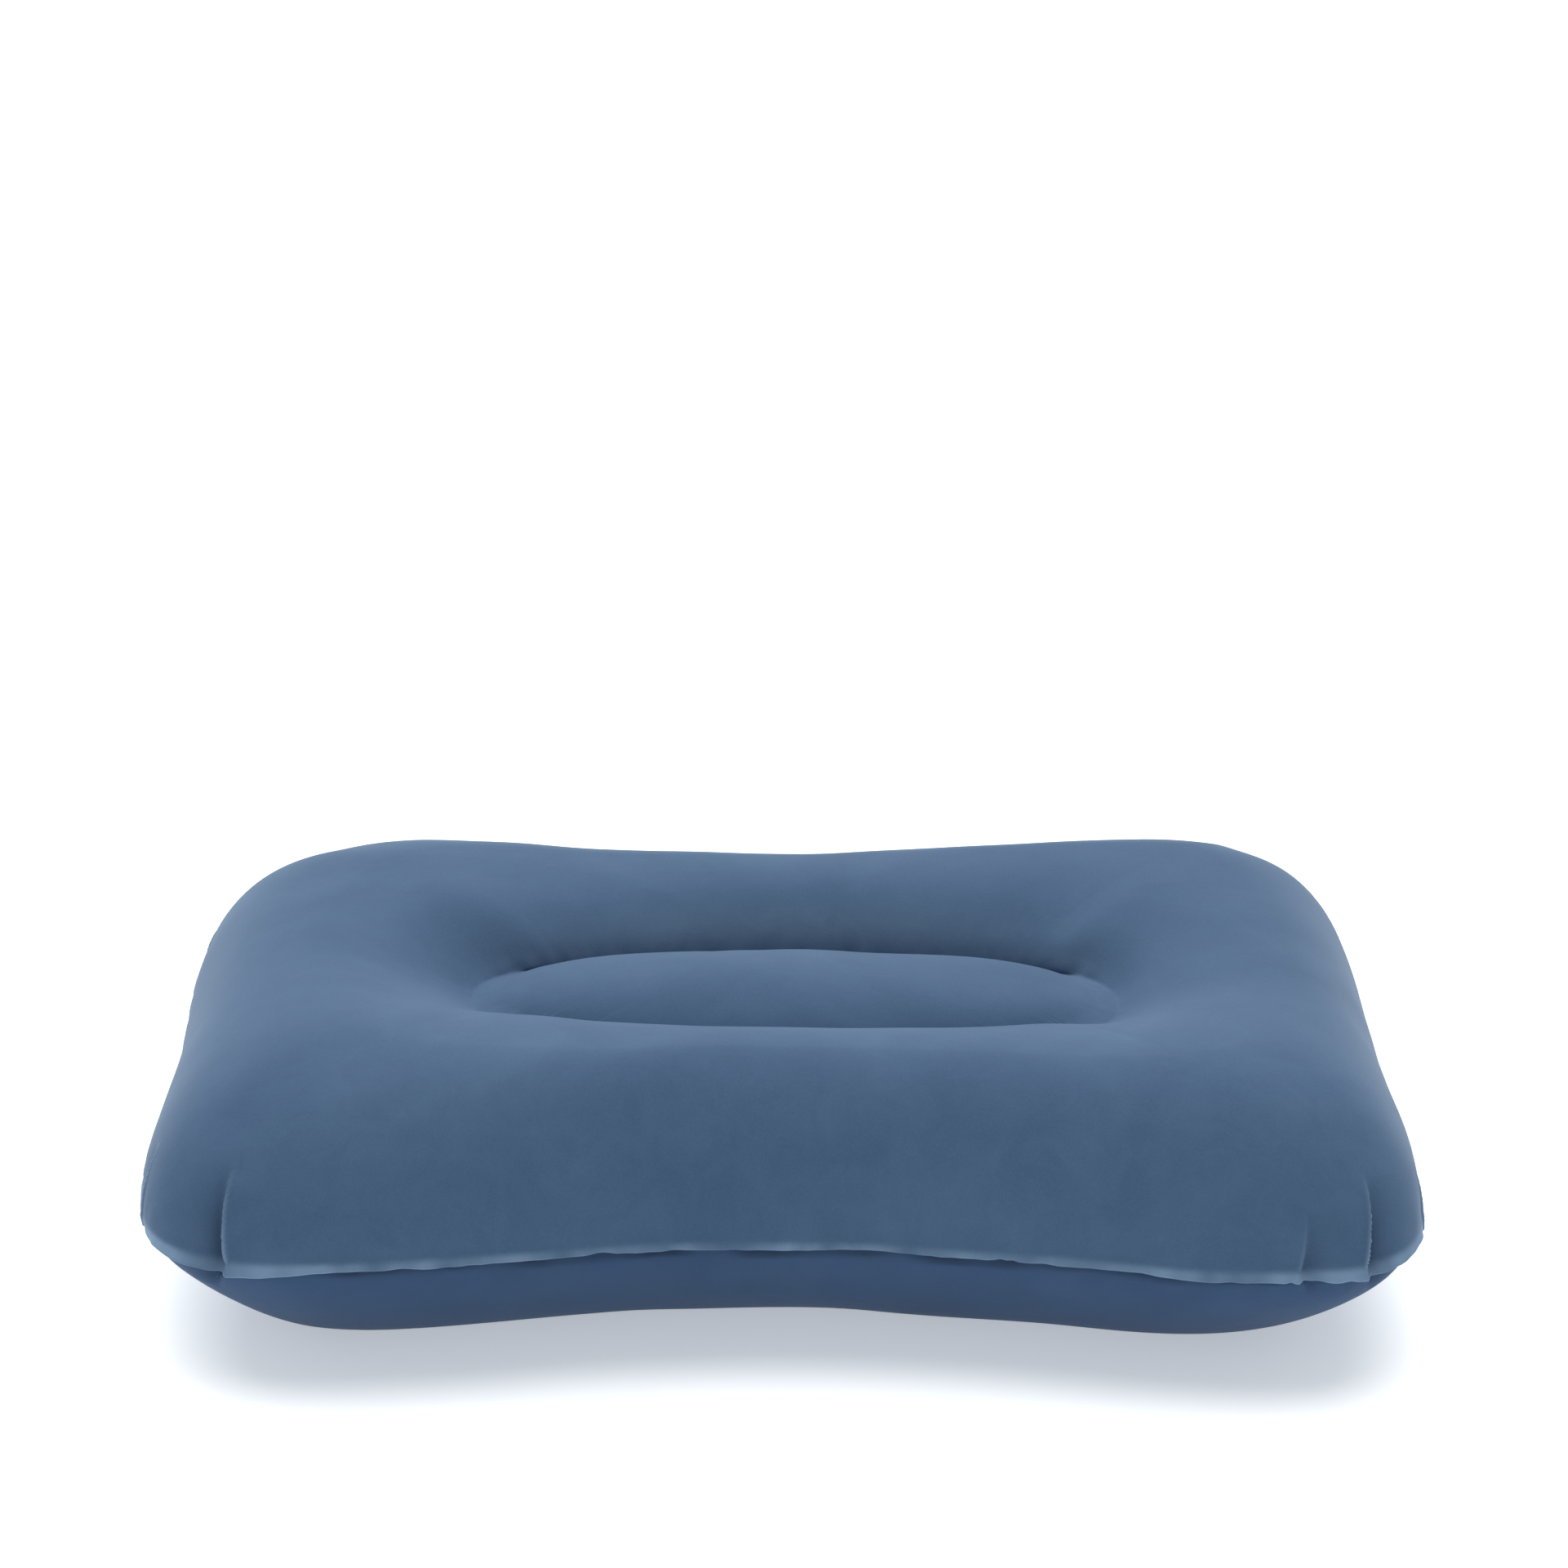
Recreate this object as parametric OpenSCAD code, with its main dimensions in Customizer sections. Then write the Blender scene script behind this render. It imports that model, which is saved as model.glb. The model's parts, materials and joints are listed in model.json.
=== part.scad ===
// Inflatable flocked camp pillow: two welded sheets, an inner tension band and a press-in air valve.
// +X runs along the pillow, +Y is the back, +Z is up. The origin is on the ground under its middle.

/* [Pillow] */
// Length from end seam to end seam
pillow_l = 414; // [408:2:420]
// Depth from seam to seam at the corners
pillow_d = 263; // [258:1:266]
// Height of the inflated pillow, before its rim dips
pillow_h = 99; // [96:1:101]
// Height of the perimeter seam above the ground
seam_z = 44.5; // [42:0.5:46]
// How far the middle of each long side pulls in
waist_long = 23; // [18:1:26]
// How far the middle of each short side pulls in
waist_short = 3; // [2:1:6]
// Squareness of the corners in plan, where 2 is round
corner_square = 6.5; // [5:0.5:7]
// How much lower the rim is at the middle of the long sides
rim_dip = 3; // [2:1:5]
// How much lower the rim is at the middle of the short sides
end_dip = 4; // [2:1:5]
// How much the underside lifts at the middle of the long sides
base_lift = 6; // [4:1:8]
// Thickness of the flocked sheets
sheet_t = 0.8; // [0.6:0.1:0.9]

/* [Welds] */
// Width of the welded margin around the seam
margin_w = 5; // [4:0.5:6]
// How steeply the margin droops, in degrees below level
margin_droop = 45; // [35:5:50]
// Half length of the oval crease
crease_l = 108.5; // [106:0.5:112]
// Half depth of the oval crease
crease_d = 36; // [33:1:38]
// How far the oval crease sits to the right of the middle
crease_shift = 4; // [0:1:5]
// Width of the weld along the crease
crease_w = 4; // [3:0.5:5]
// Height of the weld along the crease in the top
top_crease_z = 71; // [69:1:73]
// Height of the weld along the crease in the underside
base_crease_z = 15; // [13:1:17]
// Rise of the head cushion over its crease
cushion_rise = 18; // [15:1:21]
// Thickness of the tension band
band_t = 0.6; // [0.4:0.1:0.8]
// Radius of the air holes in the tension band
air_hole_r = 6; // [4:0.5:7]

/* [Valve] */
// Place of the valve along the back, from -1 at one corner to 1 at the other
valve_place = -0.5; // [-0.55:0.05:-0.45]
// Height of the valve above the seam
valve_up = 21; // [20:0.5:22]
// Outer radius of the welded valve flange
flange_r = 15; // [14:0.5:15.5]
// Thickness of the valve flange
flange_t = 0.9; // [0.8:0.1:1.1]
// Outer radius of the boot at its mouth
boot_r = 10.5; // [10:0.1:11]
// Thickness of the boot
boot_t = 0.6; // [0.5:0.1:0.7]
// Outer radius of the stem
stem_r = 6; // [5.8:0.1:6.2]
// Radius of the air bore in the stem
bore_r = 4; // [3.8:0.1:4.1]
// Depth of the stem's foot when it is pressed in
stem_in = 15; // [14:0.5:16]
// How far the stem's mouth stands out when it is pressed in
stem_out = 4; // [4:0.1:4.5]

/* [Hidden] */
$fn = 64;

flock_blue = [0.37, 0.47, 0.60];
base_blue = [0.25, 0.36, 0.48];
film_grey = [0.72, 0.76, 0.80];
valve_white = [0.86, 0.88, 0.90];

// Cells along each long side and each short side
long_n = 28;
short_n = 14;
around_n = 2 * (long_n + short_n);
// Rows up the outer wall, down into the crease and across the head cushion
wall_n = 8;
fall_n = 6;
cushion_n = 5;
// Rows down the underside's outer wall, up to its crease and across its dish
under_n = 6;
inner_n = 5;
dish_n = 3;
half_l = pillow_l / 2;
half_d = pillow_d / 2;
// Share of the way from seam to crease where the rim is highest, and where the underside is lowest
rim_at = 0.5;
low_at = 0.44;
// How much nearer the seam the underside is lowest at the corners
low_corner = 0.07;

// Valve: its tilt up from level and its turn towards the middle, both square to the wall there
valve_tilt = 24;
valve_turn = 8;
// How far the seat is drawn in from the wall's own curve, and the seat's radius
seat_sink = 1;
seat_r = 16.5;
// Gap around the boot's mouth, and around the stem, the plug and the flap
mouth_gap = 0.3;
running = 0.1;
// Length of the boot's cuff around the stem's foot
cuff_l = 3;
// Plug: length in the bore, taper, and its head
plug_l = 5;
plug_taper = 0.6;
head_t = 1.6;
// Strap: its width and thickness, and the thick edge that it bends about
strap_w = 4;
strap_t = 0.9;
bend_r = 0.8;
bend_x = stem_r + 3.1;
bend_z = stem_out - 0.8;
// Flap over the stem's foot, and the thick edge that it bends about
flap_t = 0.6;
flap_r = bore_r + 0.6;
flap_x = -flap_r - 0.6;

// Plan of the pillow ------------------------------------------------------------------------------

// Place of column i on the outline of a unit square, from the back right corner towards -X
function square_pt(i) =
  i < long_n ? [1 - 2 * i / long_n, 1]
  : i < long_n + short_n ? [-1, 1 - 2 * (i - long_n) / short_n]
  : i < 2 * long_n + short_n ? [2 * (i - long_n - short_n) / long_n - 1, -1]
  : [1, 2 * (i - 2 * long_n - short_n) / short_n - 1];
function around(i) = (i + around_n) % around_n;

// The same place on a box with rounded corners, of half sizes a and b
function box_pt(q, a, b, square) =
  [a * q.x, b * q.y] / pow(pow(abs(q.x), square) + pow(abs(q.y), square), 1 / square);
// The long and short sides pull in towards their middles
function pulled_in(p) = [
  p.x * (1 - waist_short / half_l * pow(cos(90 * p.y / half_d), 2)),
  p.y * (1 - waist_long / half_d * pow(cos(90 * p.x / half_l), 2))
];
function seam_pt(i) = pulled_in(box_pt(square_pt(around(i)), half_l, half_d, corner_square));
function seam_out(i) =
  let (along = seam_pt(i + 0.5) - seam_pt(i - 0.5)) [along.y, -along.x] / norm(along);
function crease_pt(i, out) =
  [crease_shift, 0] + box_pt(square_pt(around(i)), crease_l + out, crease_d + out, 3.2);

// 0 at the middle of a long side and 1 at the ends
function endness(i) = pow(seam_pt(i).x / half_l, 2);
function rim_z(i) =
  let (tip = pow(endness(i), 4) * pow(cos(90 * square_pt(around(i)).y), 2))
    pillow_h - sheet_t - rim_dip * (1 - endness(i)) - end_dip * tip;
// 1 for columns that end at a tip of the crease, 0 along its sides
function at_tip(i) =
  let (t = max(0, abs(crease_pt(i, 0).x - crease_shift) / crease_l - 0.82) / 0.18)
    t * t * (3 - 2 * t);
function low_z(i) = sheet_t + base_lift * (1 - endness(i)) - 2.5;
// 0 along the sides and 1 at the corners
function cornerness(i) = let (q = square_pt(i)) pow(min(abs(q.x), abs(q.y)), 2);
function low_share(i) = low_at - low_corner * cornerness(i);

// Inner faces of the sheets, as rows of points from the margin inwards ------------------------------

function lifted(p, z) = [p.x, p.y, z];
function on_plan(i, share) = seam_pt(i) * (1 - share) + crease_pt(i, crease_w / 2) * share;

// Welded margin and seam, shared by both sheets; out is 1 at the margin's edge and 0 at the seam
function margin_pt(i, out) = lifted(
  seam_pt(i) + out * margin_w * cos(margin_droop) * seam_out(i),
  seam_z - out * margin_w * sin(margin_droop)
);
// Outer wall of the top: upright at the seam and level at the rim, where a is 90
function wall_pt(i, a) = lifted(
  on_plan(i, rim_at * (1 - pow(cos(a), 1.2))),
  seam_z + (rim_z(i) - seam_z) * pow(sin(a), 1.2)
);
// From the rim down into the oval crease: a full round side, and an open hollow off each tip
function fall_pt(i, a) =
  let (
    t = pow(sin(a), 0.9),
    drop = cos(a) * (1 - at_tip(i)) + pow(1 - pow(t, 1.9), 1.15) * at_tip(i)
  ) lifted(
    on_plan(i, rim_at + (1 - rim_at) * t),
    top_crease_z + (rim_z(i) - top_crease_z) * drop
  );
// From the seam down to the lowest line of the underside, then up to its crease
function under_pt(i, a) = lifted(
  on_plan(i, low_share(i) * (1 - pow(cos(a), 1.75))),
  max(sheet_t, seam_z + (low_z(i) - seam_z) * pow(sin(a), 1.3))
);
function inner_pt(i, a) = lifted(
  on_plan(i, low_share(i) + (1 - low_share(i)) * sin(a)),
  max(sheet_t, base_crease_z + (low_z(i) - base_crease_z) * pow(cos(a), 1.3))
);
// Head cushion, and the dish under it; share is 1 at the crease and 0 in the middle
function cushion_pt(i, share, z, rise) =
  lifted(share * crease_pt(i, -crease_w / 2), z + rise * pow(1 - share * share, 0.7));

top_rows = concat(
  [for (out = [1, 0]) [for (i = [0:around_n - 1]) margin_pt(i, out)]],
  [for (k = [1:wall_n]) [for (i = [0:around_n - 1]) wall_pt(i, 90 * k / wall_n)]],
  [for (k = [1:fall_n]) [for (i = [0:around_n - 1]) fall_pt(i, 90 * k / fall_n)]],
  [
    for (k = [0:cushion_n - 1])
      [for (i = [0:around_n - 1]) cushion_pt(i, 1 - k / cushion_n, top_crease_z, cushion_rise)]
  ]
);
base_rows = concat(
  [for (out = [1, 0]) [for (i = [0:around_n - 1]) margin_pt(i, out)]],
  [for (k = [1:under_n]) [for (i = [0:around_n - 1]) under_pt(i, 90 * k / under_n)]],
  [for (k = [1:inner_n]) [for (i = [0:around_n - 1]) inner_pt(i, 90 * k / inner_n)]],
  [for (k = [0:dish_n - 1]) [for (i = [0:around_n - 1]) cushion_pt(i, 1 - k / dish_n, base_crease_z, -6)]]
);

// Valve place ---------------------------------------------------------------------------------------

// The valve faces along valve_axis; seen from outside, valve_right and valve_up_dir lie in its seat
valve_axis = [
  sin(valve_turn) * cos(valve_tilt), cos(valve_turn) * cos(valve_tilt), sin(valve_tilt)
];
valve_right = [-cos(valve_turn), sin(valve_turn), 0];
valve_up_dir = cross(valve_axis, valve_right);
valve_i = long_n * (1 - valve_place) / 2;
valve_a = asin(pow(valve_up / (rim_z(valve_i) - seam_z), 1 / 1.2));
valve_at = wall_pt(valve_i, valve_a) + (sheet_t - seat_sink) * valve_axis;

module at_valve() {
  multmatrix([
    for (k = [0:2]) [valve_right[k], valve_up_dir[k], valve_axis[k], valve_at[k]]
  ]) children();
}

// Block of cells that gives way to the flat seat: its first column and row, and its size
seat_col = round(valve_i) - 2;
seat_row = 1;
seat_cols = 4;
seat_rows = 5;
seat_n = 4 * (seat_cols + seat_rows);
// Corners of the cells around that block, anticlockwise from its lower left as seen from outside
seat_loop = concat(
  [for (k = [0:seat_cols - 1]) [seat_row, seat_col + k]],
  [for (k = [0:seat_rows - 1]) [seat_row + k, seat_col + seat_cols]],
  [for (k = [seat_cols:-1:1]) [seat_row + seat_rows, seat_col + k]],
  [for (k = [seat_rows:-1:1]) [seat_row + k, seat_col]]
);
// Circle of radius r around the valve, at height a along its axis
function seat_circle(r, a) = [
  for (k = [0:seat_n - 1])
    let (turn = 360 * k / seat_n - 90 - 180 * seat_cols / (seat_cols + seat_rows) / 2)
      valve_at + a * valve_axis + r * cos(turn) * valve_right + r * sin(turn) * valve_up_dir
];

// Closed shells ---------------------------------------------------------------------------------------

function unit(v) = v / norm(v);
// Offset that keeps the full thickness on both sides of a fold, at row r and column i
function fold_offset(rows, r, i) =
  let (
    along = rows[r][around(i + 1)] - rows[r][around(i - 1)],
    below = r == 0 ? rows[1][i] - rows[0][i] : rows[r][i] - rows[r - 1][i],
    above = r == len(rows) - 1 ? below : rows[r + 1][i] - rows[r][i],
    n1 = unit(cross(along, below)),
    n2 = unit(cross(along, above))
  ) (n1 + n2) / (1 + n1 * n2);
function thickened(rows, t) = [
  for (r = [0:len(rows) - 1]) [for (i = [0:around_n - 1]) rows[r][i] + t * fold_offset(rows, r, i)]
];

// A face, turned over where flip is true
function turned(f, flip) = flip ? [f[2], f[1], f[0]] : f;
function in_seat(r, i) =
  r >= seat_row && r < seat_row + seat_rows && i >= seat_col && i < seat_col + seat_cols;
// Triangles of a layer whose points begin at start, with its middle closed around the point mid
function layer_faces(rows_n, start, mid, seat, flip) = concat(
  [
    for (r = [0:rows_n - 2], i = [0:around_n - 1])
      if (!(seat && in_seat(r, i)))
        let (
          a = start + r * around_n + i,
          b = start + r * around_n + around(i + 1)
        )
          each [turned([a, b + around_n, b], flip), turned([a, a + around_n, b + around_n], flip)]
  ],
  [
    for (i = [0:around_n - 1])
      let (last = start + (rows_n - 1) * around_n)
        turned([last + i, mid, last + around(i + 1)], flip)
  ]
);
// Triangles between two loops of n points each
function band_faces(n, one, two, flip) = [
  for (k = [0:n - 1])
    let (m = (k + 1) % n)
      each [turned([one + k, two + m, one + m], flip), turned([one + k, two + k, two + m], flip)]
];
// Triangles between the block's corners in one layer and the circle that begins at ring
function seat_faces(start, ring, flip) = [
  for (k = [0:len(seat_loop) - 1])
    let (
      next = (k + 1) % len(seat_loop),
      a = start + seat_loop[k][0] * around_n + seat_loop[k][1],
      b = start + seat_loop[next][0] * around_n + seat_loop[next][1],
      c = ring + 2 * k,
      d = ring + 2 * k + 1,
      e = ring + 2 * next
    )
      each [turned([a, c, d], flip), turned([a, d, b], flip), turned([b, d, e], flip)]
];

// Shell between the given rows and the same rows moved out by t; seat leaves the valve's hole in it
module shell(rows, t, seat) {
  outer = thickened(rows, t);
  count = len(rows) * around_n;
  last = rows[len(rows) - 1];
  mid = [0, 0, last[0].z];
  rings = 2 * count + 2;
  polyhedron(
    points = concat(
      [for (r = rows) each r],
      [for (r = outer) each r],
      [[0, 0, last[0].z], [0, 0, last[0].z + t]],
      seat ? [
        each seat_circle(seat_r, -sheet_t),
        each seat_circle(seat_r, 0),
        each seat_circle(boot_r + mouth_gap, -sheet_t),
        each seat_circle(boot_r + mouth_gap, 0)
      ] : []
    ),
    faces = concat(
      layer_faces(len(rows), 0, 2 * count, seat, t > 0),
      layer_faces(len(rows), count, 2 * count + 1, seat, t < 0),
      band_faces(around_n, 0, count, t < 0),
      seat ? [
        each seat_faces(0, rings, true),
        each seat_faces(count, rings + seat_n, false),
        each band_faces(seat_n, rings, rings + 2 * seat_n, true),
        each band_faces(seat_n, rings + seat_n, rings + 3 * seat_n, false),
        each band_faces(seat_n, rings + 2 * seat_n, rings + 3 * seat_n, true)
      ] : []
    )
  );
}

// Pieces ------------------------------------------------------------------------------------------------

module top_sheet() {
  color(flock_blue) shell(top_rows, sheet_t, true);
}

module bottom_sheet() {
  color(base_blue) shell(base_rows, -sheet_t, false);
}

// Strip of film along the crease, between two offsets from it and two heights
module crease_strip(in, out, low, high) {
  translate([0, 0, low]) linear_extrude(height = high - low) difference() {
    polygon([for (i = [0:around_n - 1]) crease_pt(i, out)]);
    polygon([for (i = [0:around_n - 1]) crease_pt(i, in)]);
  }
}

// Upright band that ties the two creases together, with air holes and a welded foot at each edge
module tension_band() {
  color(film_grey) difference() {
    union() {
      crease_strip(-band_t / 2, band_t / 2, base_crease_z, top_crease_z);
      crease_strip(-crease_w / 2, crease_w / 2, base_crease_z, base_crease_z + band_t);
      crease_strip(-crease_w / 2, crease_w / 2, top_crease_z - band_t, top_crease_z);
    }
    for (x = [-60, 0, 60]) {
      translate([x, 0, (base_crease_z + top_crease_z) / 2]) rotate([90, 0, 0])
        cylinder(r = air_hole_r, h = 4 * crease_d, center = true);
    }
  }
}

// Flat ring welded onto the seat, with a bevelled edge
module valve_flange() {
  color(valve_white) at_valve() rotate_extrude() polygon([
    [boot_r - boot_t, 0],
    [flange_r, 0],
    [flange_r, flange_t / 2],
    [flange_r - 0.8, flange_t],
    [boot_r - boot_t, flange_t]
  ]);
}

// Thin funnel that rolls out with the stem, ending in a cuff around the stem's foot
module valve_boot() {
  cuff_in = stem_r + running;
  color(valve_white) at_valve() rotate_extrude() polygon([
    [boot_r - boot_t, 0],
    [cuff_in, cuff_l - stem_in],
    [cuff_in, -stem_in],
    [cuff_in + boot_t, -stem_in],
    [cuff_in + boot_t, cuff_l - stem_in],
    [boot_r, 0]
  ]);
}

// Tube that is blown into, with the lug that the plug's strap hangs on
module valve_stem() {
  color(valve_white) at_valve() difference() {
    union() {
      translate([0, 0, -stem_in]) cylinder(r = stem_r, h = stem_in + stem_out);
      translate([0, -strap_w / 2, stem_out - 1.6])
        cube([bend_x - bend_r - running, strap_w, 1.6]);
    }
    translate([0, 0, -stem_in - 1]) cylinder(r = bore_r, h = stem_in + stem_out + 2);
  }
}

// Film flap that air lifts on its way in and shuts on its way out
module check_flap() {
  flap_z = -stem_in - running - flap_t;
  color(film_grey) at_valve() {
    translate([0, 0, flap_z]) cylinder(r = flap_r, h = flap_t);
    difference() {
      translate([flap_x, -2, flap_z]) cube([-flap_x, 4, flap_t]);
      translate([0, 0, flap_z - 1]) cylinder(r = flap_r, h = flap_t + 2);
    }
    translate([flap_x, 0, flap_z + flap_t / 2]) rotate([90, 0, 0])
      cylinder(r = flap_t / 2, h = 4, center = true);
  }
}

// Strap from the lug to the plug's head
module plug_strap() {
  low = bend_z;
  high = stem_out + 0.3;
  color(valve_white) at_valve() {
    difference() {
      translate([stem_r - 1, -strap_w / 2, high])
        cube([bend_x + strap_t / 2 - stem_r + 1, strap_w, strap_t]);
      translate([0, 0, stem_out - 1]) cylinder(r = stem_r, h = 4);
    }
    translate([bend_x - strap_t / 2, -strap_w / 2, low])
      cube([strap_t, strap_w, high - low + strap_t]);
    translate([bend_x, 0, low]) rotate([90, 0, 0])
      cylinder(r = bend_r, h = strap_w, center = true);
  }
}

// Tapered plug with a flat head and a tab to pull it by
module valve_plug() {
  top_r = bore_r - running / 2;
  color(valve_white) at_valve() {
    translate([0, 0, stem_out - plug_l])
      cylinder(r1 = top_r - plug_taper, r2 = top_r, h = plug_l);
    translate([0, 0, stem_out]) cylinder(r = stem_r, h = head_t);
    translate([-stem_r - 1, 0, stem_out + 0.2]) cylinder(r = 2.6, h = head_t - 0.4);
  }
}

top_sheet();
bottom_sheet();
tension_band();
valve_flange();
valve_boot();
valve_stem();
check_flap();
plug_strap();
valve_plug();
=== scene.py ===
"""Inflatable flocked camp pillow: two soft sheets with a welded lip, corner tucks and an oval weld round the
head cushion, an inner band between the oval welds, and a press-in stem valve in the back wall."""
import json
import math

import bmesh
import bpy
import numpy as np
from mathutils import Matrix, Vector


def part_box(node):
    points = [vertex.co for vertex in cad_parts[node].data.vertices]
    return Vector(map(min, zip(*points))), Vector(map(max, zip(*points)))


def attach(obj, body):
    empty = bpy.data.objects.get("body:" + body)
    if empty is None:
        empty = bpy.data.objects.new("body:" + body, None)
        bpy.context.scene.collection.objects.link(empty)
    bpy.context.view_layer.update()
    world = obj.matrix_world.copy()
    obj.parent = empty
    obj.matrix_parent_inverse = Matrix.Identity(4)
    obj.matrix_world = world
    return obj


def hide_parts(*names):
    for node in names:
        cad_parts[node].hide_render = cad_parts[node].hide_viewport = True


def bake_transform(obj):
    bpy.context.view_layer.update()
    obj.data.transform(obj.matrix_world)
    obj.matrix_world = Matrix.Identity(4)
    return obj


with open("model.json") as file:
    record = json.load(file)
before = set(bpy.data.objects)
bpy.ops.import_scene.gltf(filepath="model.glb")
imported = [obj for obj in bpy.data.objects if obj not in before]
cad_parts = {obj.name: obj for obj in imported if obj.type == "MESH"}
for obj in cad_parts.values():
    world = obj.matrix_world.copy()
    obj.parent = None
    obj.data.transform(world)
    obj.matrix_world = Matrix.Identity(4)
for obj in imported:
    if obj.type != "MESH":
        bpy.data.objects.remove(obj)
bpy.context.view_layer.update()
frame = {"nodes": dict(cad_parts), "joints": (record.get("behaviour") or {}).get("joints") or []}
MM = 0.001

# ---------------------------------------------------------------- sizes, in mm
# Heights of the seam and of the pillow's top, and how thick the sheets are
_, base_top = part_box("bottom_sheet")
SEAM_Z = base_top[2] / MM
TOP_Z, SHEET = 99.0, 0.8
# The seam: half its length and depth, how far its long and short sides pull in, and how square it is
HALF_L, HALF_D = 207.0, 131.5
WAIST_LONG, WAIST_SHORT, SQUARE = 23.0, 3.0, 6.5
# The rim: its place between seam and oval, its dip in front, the back's share of that, and the ends' dip
RIM_AT, FRONT_DIP, BACK_DIP, END_DIP = 0.5, 3.0, 0.6, 4.0
# The back rim's slump: its depth, its middle and its reach
SLUMP, SLUMP_X, SLUMP_REACH = 1.9, -72, 60
# The lowest line of the underside: its place, and how much nearer the seam it lies at the corners
LOW_AT, LOW_CORNER = 0.44, 0.07
# Its lift at mid side, the share of that in front, and how far below SHEET its ends would lie
BASE_LIFT, FRONT_LIFT, REST_DEPTH = 6.0, 0.72, 2.5
# The lip: its full width, its share of that at mid side, and what the corners add to the share
MARGIN, LIP_MID, LIP_CORNER = 4.1, 0.54, 0.46
# The lip's droop in radians, and how much more it is at the ends
DROOP, SIDE_DROOP = 0.85, 0.42
# The oval weld: half its length and depth, its width, its middle, and how square its two halves are
CREASE_L, CREASE_D, CREASE_W, CREASE_X = 106.8, 36.0, 4.0, 4.5
SQUARE_LEFT, SQUARE_RIGHT = 2.15, 2.4
# How far along the oval its tips begin: behind on the right, behind on the left, and in front
TIP_BACK_RIGHT, TIP_BACK_LEFT, TIP_FRONT = 0.80, 0.76, 0.60
# Heights of the oval weld in the two sheets, and how far the middle rises or sinks from it
TOP_CREASE, BASE_CREASE, RISE, BASE_RISE = 71.0, 15.0, 18.0, -6.0
# The lift of the top weld's tips, and how far along the oval it begins and would end
TIP_LIFT, LIFT_FROM, LIFT_TO = 4.5, 0.35, 1.05
# The outline is counted in steps: so many along a long side, along a short side, and all round
LONG_N, SHORT_N = 28, 14
AROUND = 2 * (LONG_N + SHORT_N)
# Points in each row of the two sheets
COLUMNS = 860


# ---------------------------------------------------------------- plan of the pillow
def square_pt(i):
    """Place i steps along the outline of a unit square, from the back right corner towards -X."""
    i = np.mod(i, AROUND)
    left, front, right = LONG_N, LONG_N + SHORT_N, 2 * LONG_N + SHORT_N
    sides = [i < left, i < front, i < right]
    u = np.select(sides, [1 - 2 * i / left, -1 + 0 * i, 2 * (i - front) / LONG_N - 1], 1 + 0 * i)
    v = np.select(sides, [1 + 0 * i, 1 - 2 * (i - left) / SHORT_N, -1 + 0 * i],
                  2 * (i - right) / SHORT_N - 1)
    return u, v


def box_pt(i, a, b, square):
    """Place i steps along a rounded box of half sizes a and b; the higher square is, the squarer."""
    u, v = square_pt(i)
    k = (np.abs(u) ** square + np.abs(v) ** square) ** (-1 / square)
    return np.stack([a * u * k, b * v * k], -1)


def seam_pt(i):
    p = box_pt(i, HALF_L, HALF_D, SQUARE)
    x = p[..., 0] * (1 - WAIST_SHORT / HALF_L * np.cos(np.pi / 2 * p[..., 1] / HALF_D) ** 2)
    y = p[..., 1] * (1 - WAIST_LONG / HALF_D * np.cos(np.pi / 2 * p[..., 0] / HALF_L) ** 2)
    return np.stack([x, y], -1)


def seam_out(i):
    """Unit vector out of the seam, in plan."""
    along = seam_pt(i + 0.5) - seam_pt(i - 0.5)
    n = np.stack([along[..., 1], -along[..., 0]], -1)
    return n / np.linalg.norm(n, axis=-1, keepdims=True)


def crease_pt(i, out):
    """The oval weld in plan, out mm beyond its middle line. Its left tip is the more pointed one."""
    square = np.where(square_pt(i)[0] < 0, SQUARE_LEFT, SQUARE_RIGHT)
    return box_pt(i, CREASE_L + out, CREASE_D + out, square) + np.array([CREASE_X, 0])


def smooth(x, a, b):
    """Eased step from 0 at a to 1 at b."""
    t = np.clip((x - a) / (b - a), 0, 1)
    return t * t * (3 - 2 * t)


# Distance along the seam against steps
fine_i = np.linspace(0, AROUND, AROUND * 40 + 1)
fine_s = np.concatenate([[0], np.cumsum(np.linalg.norm(np.diff(seam_pt(fine_i), axis=0), axis=1))])
PERIMETER = fine_s[-1]


def apart(s, at):
    """Signed distance along the seam from at, the short way round."""
    return np.mod(s - at + PERIMETER / 2, PERIMETER) - PERIMETER / 2


# Corner tucks: place in steps, height up the wall, depth, and which way the soft side lies (+1 or -1)
TUCKS = [
    (43.55, 29, 4.6, -1), (40.1, 20, 3.4, -1), (67.2, 19, 2.0, 1), (69.4, 27, 4.2, 1), (72.1, 16, 3.2, 1),
    (81.9, 22, 3.2, -1), (1.6, 25, 4.0, -1), (3.6, 16, 1.8, -1), (26.2, 26, 4.2, 1), (30.3, 19, 3.0, 1),
]
tuck_s = [float(np.interp(place, fine_i, fine_s)) for place, _, _, _ in TUCKS]


def columns(crowd=5.0, reach=5.5, aside=3):
    """Places of the sheets' columns, in steps and as distances along the seam. They crowd together on the
    soft side of each tuck."""
    s = np.linspace(0, PERIMETER, 12001)
    density = 1 + sum(crowd * np.exp(-(apart(s, at + aside * side) / reach) ** 2)
                      for at, (_, _, _, side) in zip(tuck_s, TUCKS))
    total = np.concatenate([[0], np.cumsum((density[1:] + density[:-1]) / 2 * np.diff(s))])
    got = np.interp(np.arange(COLUMNS) * total[-1] / COLUMNS, total, s)
    return np.interp(got, fine_s, fine_i), got


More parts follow.
